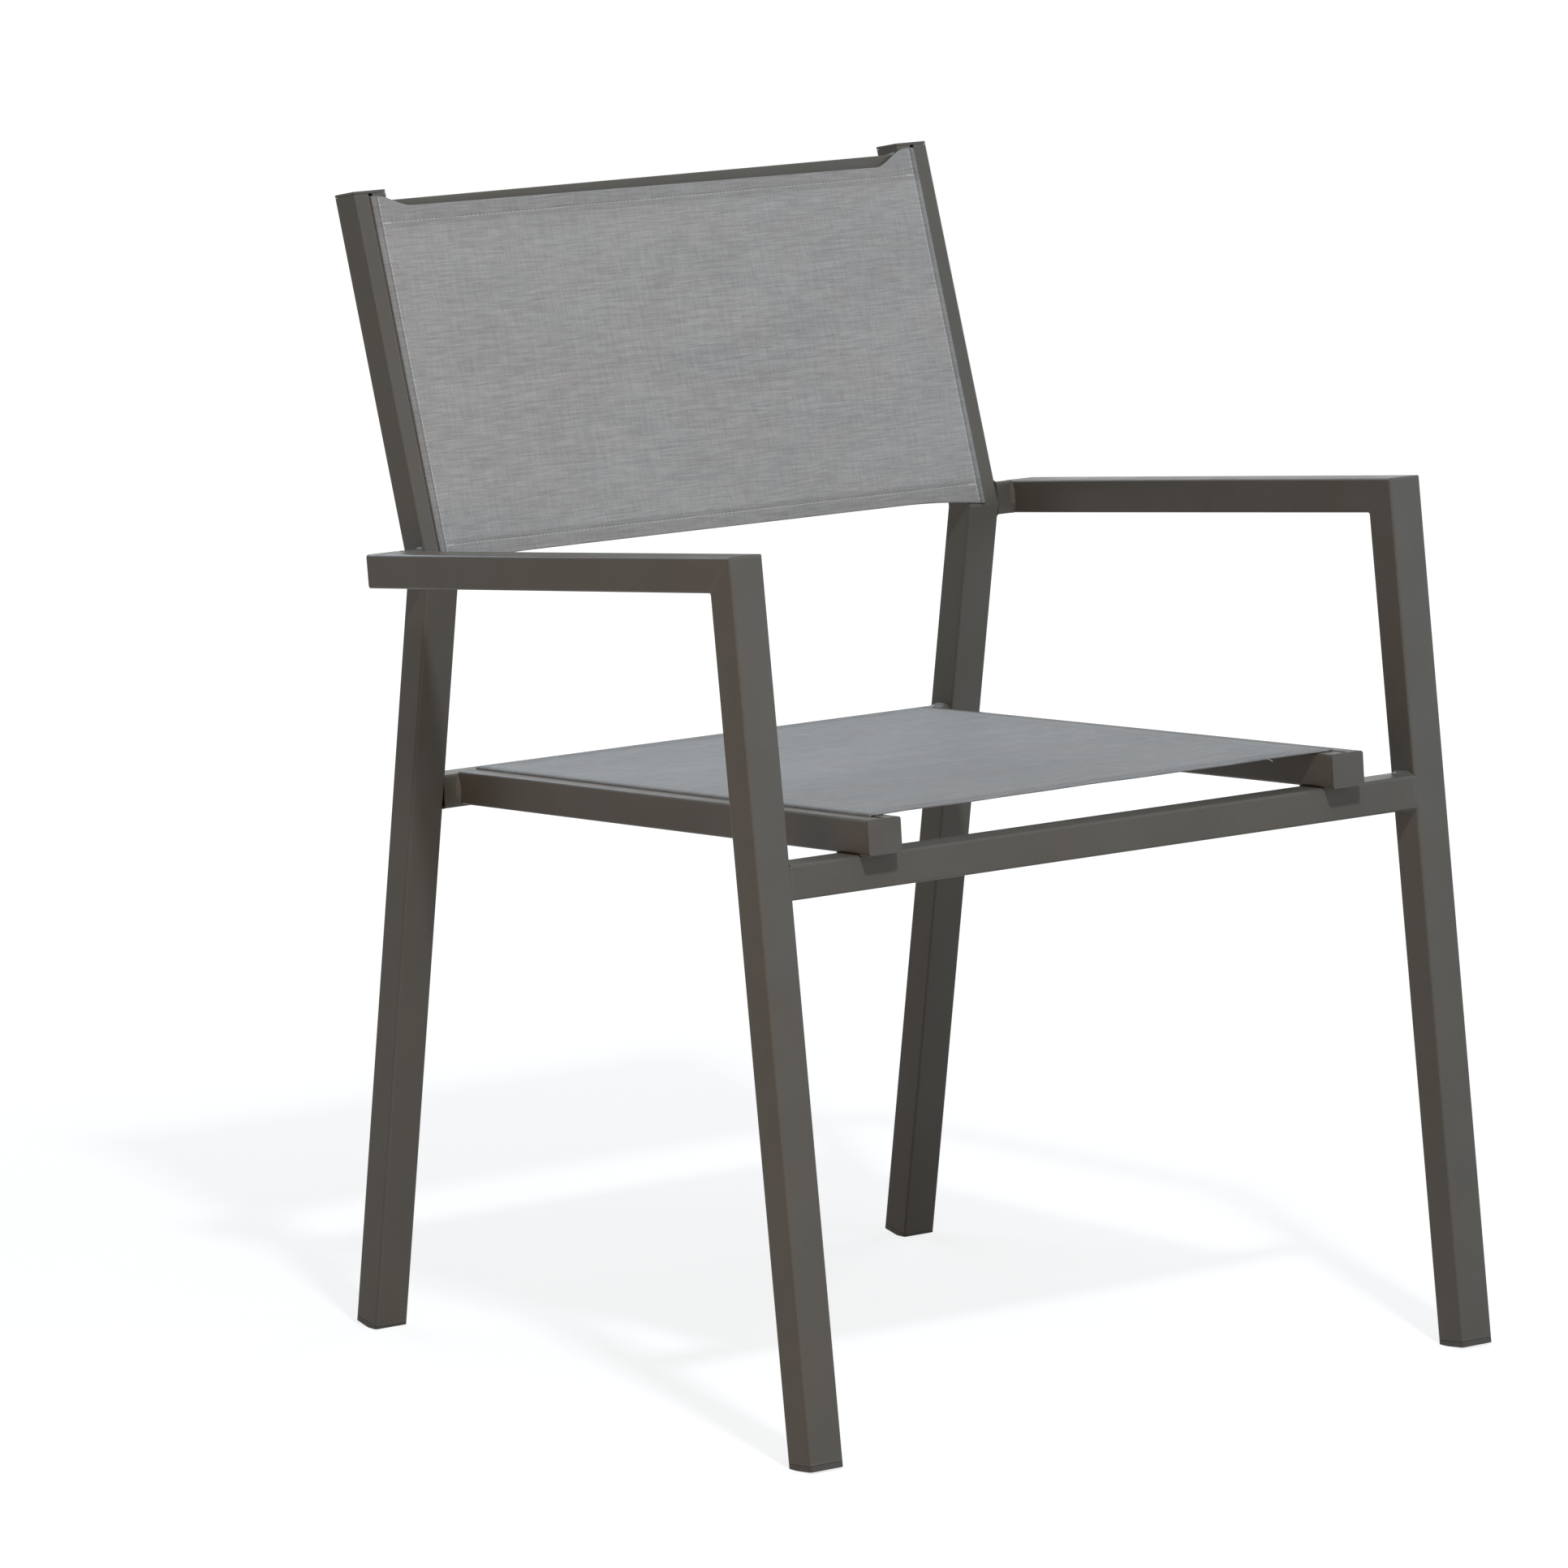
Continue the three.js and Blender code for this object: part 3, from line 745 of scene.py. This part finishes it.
def stitch(points, faces, place, start, end, radius, lift):
    """One thread stitch: a slim bead from start to end, proud by lift. place maps (x, y, z)."""
    starts = [len(points) + i * STITCH_SIDES for i in range(STITCH_RINGS)]
    axis = end - start
    side = Vector((axis.z, 0, -axis.x)).normalized()
    for i in range(STITCH_RINGS):
        t = i / (STITCH_RINGS - 1)
        turn = STITCH_TIP_SHARE + (1 - 2 * STITCH_TIP_SHARE) * t
        swell = math.sin(math.pi * turn) ** STITCH_POWER
        for k in range(STITCH_SIDES):
            a = 2 * math.pi * k / STITCH_SIDES
            offset = side * (radius * swell * math.cos(a))
            rise = Vector((0, -lift * swell * math.sin(a), 0))
            points.append(place(*(start + axis * t + offset + rise)))
    for here, there in zip(starts, starts[1:]):
        faces += band(here, there, STITCH_SIDES)
    faces.append(tuple(starts[0] + k for k in reversed(range(STITCH_SIDES))))
    faces.append(tuple(starts[-1] + k for k in range(STITCH_SIDES)))


def stitching(sling, name, loose_x):
    """The thread of a sling: hem and pocket seams, bar tacks, and a loose end where loose_x is set."""
    points, faces = [], []
    hem_x = sling.pocket_stitch - HEM_SEAM_GAP
    back_x = sling.pocket_cut - HEM_BACK_GAP

    def sew(start, end, radius, lift):
        stitch(points, faces, sling.member.at, start, end, radius, lift)

    def run(a, b, depth):
        count = max(1, int((b - a).length / STITCH_PITCH))
        for i in range(count):
            begin = i + STITCH_FIRST_SHARE
            p = a + (b - a) * (begin / count)
            q = a + (b - a) * ((begin + STITCH_LENGTH / STITCH_PITCH) / count)
            middle = (p + q) / 2
            p.y = q.y = depth(middle.x, middle.z)
            sew(p, q, STITCH_RADIUS, STITCH_LIFT)

    def back_of(x, z):
        return sling.front(x, z) + DOUBLE

    def bar_tack(z, sign):
        for i in range(TACK_COUNT):
            x = sign * (hem_x - TACK_PITCH * i)
            y = sling.front(x, z) - TACK_RISE
            p, q = Vector((x, y, z - TACK_HALF)), Vector((x + TACK_SLANT * sign, y, z + TACK_HALF))
            sew(p, q, TACK_RADIUS, TACK_RADIUS)

    for z in (sling.low + HEM_STITCH, sling.high - HEM_STITCH):
        run(Vector((-hem_x, 0, z)), Vector((hem_x, 0, z)), sling.front)
        run(Vector((-back_x, 0, z)), Vector((back_x, 0, z)), back_of)
        bar_tack(z, 1)
        bar_tack(z, -1)
    for x in (sling.pocket_stitch, -sling.pocket_stitch):
        first, last = sling.start + POCKET_SEAM_GAP, sling.end - POCKET_SEAM_GAP
        run(Vector((x, 0, first)), Vector((x, 0, last)), sling.front)
    if loose_x is not None:
        y = sling.front(loose_x, sling.low + HEM_CREASE) + LOOSE_DEPTH
        curve = [Vector((loose_x, y, sling.low)) + Vector(step) for step in LOOSE_THREAD]
        for p, q in zip(curve, curve[1:]):
            sew(p, q, LOOSE_RADIUS, LOOSE_RADIUS)
    return add_mesh(name, points, faces, thread)


# The two sheets
BACK_START = 1  # above the bend
BACK_TOP_GAP = 4.2  # below the top of the posts' caps
SEAT_FRONT_GAP = 16  # behind the front ends of the rails
SEAT_REAR_GAP = 3  # in front of the rear ends of the rails
SEAT_DIP = 2.5
SEAT_RAMP_SHARES = (0.78, 0.96)

back_sheet = Sling(
    back_post, inner_x,
    FreeEdge(BACK_START, dip=5.4, left=(0.66, 0.985), power=2.2),
    FreeEdge(POST_LENGTH - BACK_TOP_GAP, dip=11.1, left=(0.83, 0.955), right=(0.85, 0.975), lean=2.0),
    bow=0.9, seed=0.7,
)
seat_sheet = Sling(
    seat, rails_x,
    FreeEdge(SEAT_FRONT_GAP, SEAT_DIP, SEAT_RAMP_SHARES),
    FreeEdge(rail_end - SEAT_REAR_GAP, SEAT_DIP, SEAT_RAMP_SHARES),
    bow=1.4, seed=1.9,
)
back_weave = woven("back_weave", "9e9b98", (BACK_LEAN, 0, 0), back_sheet)
# the seat's cloth is the back's fabric, given a slightly darker and less warm colour: painted shade that
# offsets the stronger light from above
seat_weave = woven("seat_weave", "999897", (seat_lean, 0, 0), seat_sheet)
for sling, name, weave, rests, loose_x in (
    (back_sheet, "back", back_weave, ["back_post_left", "back_post_right"], None),
    (seat_sheet, "seat", seat_weave, ["seat_rail_left", "seat_rail_right"], LOOSE_X),
):
    points, faces = sling.build()
    cloth = add_mesh(f"{name}_cloth", points, faces, weave)
    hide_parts(f"{name}_sling")
    seams = stitching(sling, f"{name}_stitching", loose_x)
    sling.flat_size()


# Weld beads: how far each reaches from its joint
FRONT_CORNER_BEAD = 2.0  # in the inner corner, and MITRE_REACH elsewhere
BEND_BEAD = 0.8
FRONT_BAR_BEAD = 2.6
REAR_BAR_BEAD = 3.0
TOP_BAR_BEAD = 2.4
SPACER_POST_BEAD = 1.4
SPACER_ARMREST_BEAD = 2.6
RAIL_REAR_BEAD = 2.8
RAIL_BEAD = 3.0
MITRE_REACH = 1.3
MIN_BEAD = 0.22

# Their stations and sections: a sink or root is how far a bead reaches into a member
SPACING = 0.75  # of stations along a bead
BEAD_STEPS = 5
EDGE_MARGIN = 0.6 * CORNER  # that a bead keeps to the rounded edge of the face that carries it
EVEN_REACH = 4  # stations each way
RIPPLE_PITCH = 1.9
FILLET_RIPPLE, MITRE_RIPPLE = 0.06, 0.05
ROOM_STEP = 0.1
END_TAPER = 2.5  # over which an open bead gets thinner towards its end
ROOT_DEPTH = 0.8
FILLET_SINK, FILLET_ROOT, FILLET_ROOT_BACK = 0.06, 0.5, 0.1
FILLET_CROWN_SHARE = 0.42
MITRE_SINK, MITRE_CROWN = 0.04, 0.16
INNER_CROWN_SHARE = 0.3
INNER_NORMALS = (0.6, 1.0)  # of the section, over which a mitre's outside becomes its inner corner
FLUSH_NORMAL = 0.75  # from which a bar's face counts as flush with the plate's
FLUSH_REACH, FLUSH_SINK, FLUSH_CROWN = 1.1, 0.05, 0.12
BRIDGE_REACH, BRIDGE_SINK = 2.4, 0.04


def bead(name, stations, closed=True):
    """A station is four points: on one member, the crown, on the other member, and the root."""
    points, faces = [], []
    for low, crown, high, root in stations:
        for k in range(BEAD_STEPS + 1):
            t = k / BEAD_STEPS
            points.append(low * (1 - t) ** 2 + crown * (2 * t * (1 - t)) + high * t * t)
        points.append(root)
    size = BEAD_STEPS + 2
    starts = [i * size for i in range(len(stations))]
    following = starts[1:] + starts[:1] if closed else starts[1:]
    for here, there in zip(starts, following):
        faces += band(here, there, size)
    if not closed:
        faces.append(tuple(reversed(range(size))))
        faces.append(tuple(starts[-1] + k for k in range(size)))
    shade_corners(add_mesh(name, points, faces, weld_coat))


def outline(width, depth, y_start):
    """Points and outward normals round a rounded rectangle, evenly spaced, in a member's section."""
    half, low, high = width / 2 - CORNER, y_start + CORNER, y_start + depth - CORNER
    result = []

    def straight(x0, y0, x1, y1, nx, ny):
        count = max(1, round(math.hypot(x1 - x0, y1 - y0) / SPACING))
        for i in range(count):
            t = i / count
            result.append((x0 + (x1 - x0) * t, y0 + (y1 - y0) * t, nx, ny))

    def arc(cx, cy, turn):
        count = max(2, round(CORNER * RIGHT_ANGLE / SPACING))
        for i in range(count):
            a = RIGHT_ANGLE * (turn + i / count)
            nx, ny = math.cos(a), math.sin(a)
            result.append((cx + CORNER * nx, cy + CORNER * ny, nx, ny))

    straight(half + CORNER, low, half + CORNER, high, 1, 0)
    arc(half, high, 0)
    straight(half, high + CORNER, -half, high + CORNER, 0, 1)
    arc(-half, high, 1)
    straight(-half - CORNER, high, -half - CORNER, low, -1, 0)
    arc(-half, low, 2)
    straight(-half, low - CORNER, half, low - CORNER, 0, -1)
    arc(half, low, 3)
    return result


def ripple(station, size):
    """A factor for a bead's reach at a station, for the waves that welding leaves."""
    return 1 + size * math.sin(2 * math.pi * station * SPACING / RIPPLE_PITCH)


def evened(sizes, closed):
    """Sizes along a bead, lowered where they would change abruptly."""
    count = len(sizes)

    def near(values, i):
        span = range(i - EVEN_REACH, i + EVEN_REACH + 1)
        return [values[k % count if closed else min(count - 1, max(0, k))] for k in span]

    lowest = [min(near(sizes, i)) for i in range(count)]
    return [sum(near(lowest, i)) / (2 * EVEN_REACH + 1) for i in range(count)]


def carried(point, plate):
    """Whether a point lies over a plate, a (member, first y, last y), seen square to its side."""
    member, first, last = plate
    y = member.cos * (point.y - member.y) + member.sin * (point.z - member.z)
    return first <= y <= last


def fillet(name, ring, away, size, plates, closed=True, bridge=None):
    """The bead round a bar's end, on the plates that the bar meets.

    ring holds the end's outline as points on the plates' face, each with its outward normal, and
    away runs along the bar from there. bridge(point, normal) is a point beyond the plate's edge
    where the faces of bar and plate are flush, and None elsewhere.
    """
    sizes = []
    for i, (p, normal) in enumerate(ring):
        room = 0.0
        while room < size and any(carried(p + normal * (room + ROOM_STEP), plate) for plate in plates):
            room += ROOM_STEP
        from_end = 1 + min(i, len(ring) - 1 - i)
        taper = 1 if closed else min(1, from_end * SPACING / END_TAPER)
        sizes.append(max(MIN_BEAD, min(size, room) * taper))
    stations = []
    for i, ((p, normal), reach) in enumerate(zip(ring, evened(sizes, closed))):
        over = bridge(p, normal) if bridge else None
        if over is not None:
            low = p + away * FLUSH_REACH - normal * FLUSH_SINK
            crown = (low + over) / 2 + normal * FLUSH_CROWN
            stations.append((low, crown, over, p - normal * ROOT_DEPTH))
            continue
        reach *= ripple(i, FILLET_RIPPLE)
        low = p + away * reach - normal * FILLET_SINK
        high = p + normal * reach - away * FILLET_SINK
        crown = p + (away + normal) * (FILLET_CROWN_SHARE * reach)
        stations.append((low, crown, high, p - normal * FILLET_ROOT - away * FILLET_ROOT_BACK))
    bead(name, stations, closed)


def flush_to(plate, sign):
    """Bridges to the plate's front or back face, past its rounded edge, from a bar's flush face."""

    def bridge(p, normal):
        across = plate.cos * normal.y + plate.sin * normal.z
        if abs(across) < FLUSH_NORMAL:
            return None
        y = BRIDGE_SINK if across < 0 else TUBE - BRIDGE_SINK
        z = (p.z - plate.z - plate.sin * y) / plate.cos
        return plate.at(p.x + sign * BRIDGE_REACH, y, z)

    return bridge


def mitre(a, b, slope, x, size, name):
    """The bead round a mitre between members a, below the cut, and b, with their corner at the seam."""
    stations = []
    for i, (px, py, nx, ny) in enumerate(outline(TUBE, TUBE, 0)):
        p = a.at(x + px, py, -slope * py)
        normal_a, normal_b = a.turn(nx, ny, 0), b.turn(nx, ny, 0)
        inner = smoothstep(ny, *INNER_NORMALS)
        reach = (MITRE_REACH + (size - MITRE_REACH) * inner) * ripple(i, MITRE_RIPPLE)
        low = p + a.turn(0, 0, -1) * reach - normal_a * MITRE_SINK
        high = p + b.turn(0, 0, 1) * reach - normal_b * MITRE_SINK
        mean = (normal_a + normal_b).normalized()
        crown = p + mean * (MITRE_CROWN + INNER_CROWN_SHARE * size * inner)
        stations.append((low, crown, high, p - mean * ROOT_DEPTH))
    bead(name, stations)


def end_section(width, depth, y_start, z):
    """A bar's outline, seen along the bar, with the middle of its width at z along a member."""
    return [(px + z, py, nx, ny) for px, py, nx, ny in outline(width, depth, y_start)]


def end_ring(member, x, section):
    """The outline of a bar's end at x, as points and normals in the chair's frame."""
    return [(member.at(x, y, z), member.turn(0, ny, nz)) for z, y, nz, ny in section]


def side_face(member):
    return (member, EDGE_MARGIN, TUBE - EDGE_MARGIN)


arm_corner = RIGHT_ANGLE + ARM_FALL - FRONT_RAKE
leg_mitre = (BAR / TUBE - math.cos(arm_corner)) / math.sin(arm_corner)
bend_mitre = math.tan((REAR_RAKE + BACK_LEAN) / 2)
front_section = end_section(TUBE, BAR, BAR + SEAM, RAIL_OVERHANG + TUBE / 2)
rear_section = end_section(TUBE, BAR, REAR_BAR_DROP, rear_bar_z + TUBE / 2)
top_section = end_section(TOP_BAR, TOP_BAR, TOP_BAR_INSET, POST_LENGTH - TOP_BAR_DROP - TOP_BAR / 2)
spacer_section = end_section(SPACER_DEPTH, BAR, 0, spacer_start + SPACER_DEPTH / 2)
armrest_face = (armrest, 0, BAR)
rear_bar_face = (seat, REAR_BAR_DROP + EDGE_MARGIN, REAR_BAR_DROP + BAR - EDGE_MARGIN)
open_face = (seat, -BAR, 2 * BAR)  # the rail's underside, where nothing limits a bead
rail_under = [p for p in outline(TUBE, BAR, 0) if p[1] > REAR_BAR_DROP + EDGE_MARGIN]


def weld_rail(side, rail_x):
    """A seat rail's beads: one at the rear crossbar, and one on each side of the front crossbar."""
    forward, down = seat.turn(0, 0, -1), seat.turn(0, 1, 0)
    ring = [(seat.at(rail_x + x, y, rear_bar_z), seat.turn(nx, ny, 0)) for x, y, nx, ny in rail_under]
    fillet(f"weld_rail_rear_{side}", ring, forward, RAIL_REAR_BEAD, [rear_bar_face], closed=False)
    reach = TUBE / 2 - EDGE_MARGIN
    steps = round(2 * reach / SPACING)
    for end, z, turn in (("front", RAIL_OVERHANG, -1), ("back", RAIL_OVERHANG + TUBE, 1)):
        xs = [rail_x - reach + 2 * reach * i / steps for i in range(steps + 1)]
        ring = [(seat.at(x, BAR, z), seat.turn(0, 0, turn)) for x in xs]
        fillet(f"weld_rail_{end}_of_bar_{side}", ring, down, RAIL_BEAD, [open_face], closed=False)


for side, sign in SIDES:
    inward, outward = Vector((-sign, 0, 0)), Vector((sign, 0, 0))
    leg_x, post_x = sign * (outer_x - TUBE / 2), sign * (inner_x - TUBE / 2)
    mitre(
        front_leg, armrest, leg_mitre, sign * outer_x, FRONT_CORNER_BEAD, f"weld_front_corner_{side}"
    )
    mitre(rear_leg, back_post, bend_mitre, sign * inner_x, BEND_BEAD, f"weld_bend_{side}")
    fillet(
        f"weld_front_crossbar_{side}", end_ring(seat, leg_x, front_section), inward,
        FRONT_BAR_BEAD, [side_face(front_leg)], bridge=flush_to(front_leg, sign),
    )
    fillet(
        f"weld_rear_crossbar_{side}", end_ring(seat, post_x, rear_section), inward,
        REAR_BAR_BEAD, [side_face(rear_leg)],
    )
    fillet(
        f"weld_top_crossbar_{side}", end_ring(back_post, post_x, top_section), inward,
        TOP_BAR_BEAD, [side_face(back_post)],
    )
    fillet(
        f"weld_spacer_post_{side}", end_ring(armrest, sign * (inner_x + TUBE / 2), spacer_section),
        outward, SPACER_POST_BEAD, [side_face(back_post), side_face(rear_leg)],
    )
    fillet(
        f"weld_spacer_armrest_{side}", end_ring(armrest, leg_x, spacer_section), inward,
        SPACER_ARMREST_BEAD, [armrest_face],
    )
    weld_rail(side, sign * rails_x)


# Stage: a pale floor that keeps a faint shadow, and soft studio light. Sizes are in metres.
FLOOR_HALF = 60
FLOOR_LIT = (0.62, 0.61, 0.6, 1)  # the floor as it lights the chair from below
FLOOR_SHOWN = (0.3, 0.3, 0.3, 1)  # the part of the shown floor that takes the shadow
GLOW_FROM, GLOW_TO = 1.2, 5  # from the chair's middle: between them the shown floor gets whiter
GLOW_NEAR, GLOW_FAR = 0.8, 1.0
SKY_COLOUR = (1, 0.85, 0.6, 1)
SKY_STRENGTH = 0.02
WHITE = (1, 1, 1, 1)


def seen_rays(n):
    """1 for the rays that show the background: from the camera, in a reflection or through glass."""
    path = n.node("ShaderNodeLightPath").outputs
    direct = n.math("MAXIMUM", path["Is Camera Ray"], path["Is Transmission Ray"])
    return n.math("MAXIMUM", direct, path["Is Glossy Ray"])


def show(n, lit, shown, output):
    """Sends lit to the light's rays and shown to the rays that show the background."""
    mixed = n.node("ShaderNodeMixShader", {0: seen_rays(n), 1: lit, 2: shown})
    n.put(n.tree.nodes[output].inputs["Surface"], mixed.outputs[0])


def make_floor():
    mesh = bpy.data.meshes.new("floor")
    corners = [(-1, -1), (1, -1), (1, 1), (-1, 1)]
    mesh.from_pydata([(x * FLOOR_HALF, y * FLOOR_HALF, 0) for x, y in corners], [], [(0, 1, 2, 3)])
    floor = bpy.data.objects.new("floor", mesh)
    scene.collection.objects.link(floor)
    n = Nodes("floor")
    n.tree.nodes.remove(n.shader)
    lit = n.node("ShaderNodeBsdfDiffuse", {"Color": FLOOR_LIT}).outputs[0]
    pale = n.node("ShaderNodeBsdfDiffuse", {"Color": FLOOR_SHOWN}).outputs[0]
    distance = n.node("ShaderNodeVectorMath", {0: n.place}, operation="LENGTH").outputs["Value"]
    strength = n.spread(distance, GLOW_FROM, GLOW_TO, GLOW_NEAR, GLOW_FAR)
    glow = n.node("ShaderNodeEmission", {"Strength": strength}).outputs[0]
    show(n, lit, n.node("ShaderNodeAddShader", {0: glow, 1: pale}).outputs[0], "Material Output")
    mesh.materials.append(n.material)


def make_world():
    world = bpy.data.worlds.new("studio")
    scene.world = world
    world.use_nodes = True
    n = Nodes.of(world.node_tree)
    sky = n.node("ShaderNodeBackground", {"Color": SKY_COLOUR, "Strength": SKY_STRENGTH}).outputs[0]
    white = n.node("ShaderNodeBackground", {"Color": WHITE, "Strength": 1.0}).outputs[0]
    show(n, sky, white, "World Output")


def area_light(name, place, target, size, power, colour):
    data = bpy.data.lights.new(name, "AREA")
    data.shape = "RECTANGLE"
    data.size, data.size_y = size
    data.energy = power
    data.color = colour
    light = bpy.data.objects.new(name, data)
    light.location = place
    aim = Vector(target) - Vector(place)
    light.rotation_mode = "QUATERNION"
    light.rotation_quaternion = aim.to_track_quat("-Z", "Y")
    scene.collection.objects.link(light)


make_floor()
make_world()
for name, place, target, size, power, colour in (
    ("key", (-1.45, -4.2, 5.1), (0, 0, 0.5), (0.4, 0.4), 225, (0.87, 0.93, 1)),
    ("above", (0, -1.6, 3.6), (0, 0, 0.4), (2, 2), 22, (0.8, 0.96, 1)),
    ("fill", (3, -4.5, 1.6), (0, 0, 0.4), (3, 2.4), 72, (0.7, 0.84, 1)),
    ("side", (-1.6, -1, 0.5), (0, 0, 0.4), (0.9, 0.9), 4.6, (1, 0.5, 0.08)),
    ("near", (-1.1, -0.9, 1), (-0.25, -0.2, 0.55), (0.5, 0.5), 0.9, (0.8, 0.9, 1)),
    ("behind", (0, 4.4, 2.4), (0, 0, 0.5), (3.6, 2.2), 84, (0.72, 0.85, 1)),
    ("right", (4.2, 0.9, 1.9), (0, 0, 0.4), (3, 2.4), 60, (0.9, 0.95, 1)),
):
    area_light(name, place, target, size, power, colour)
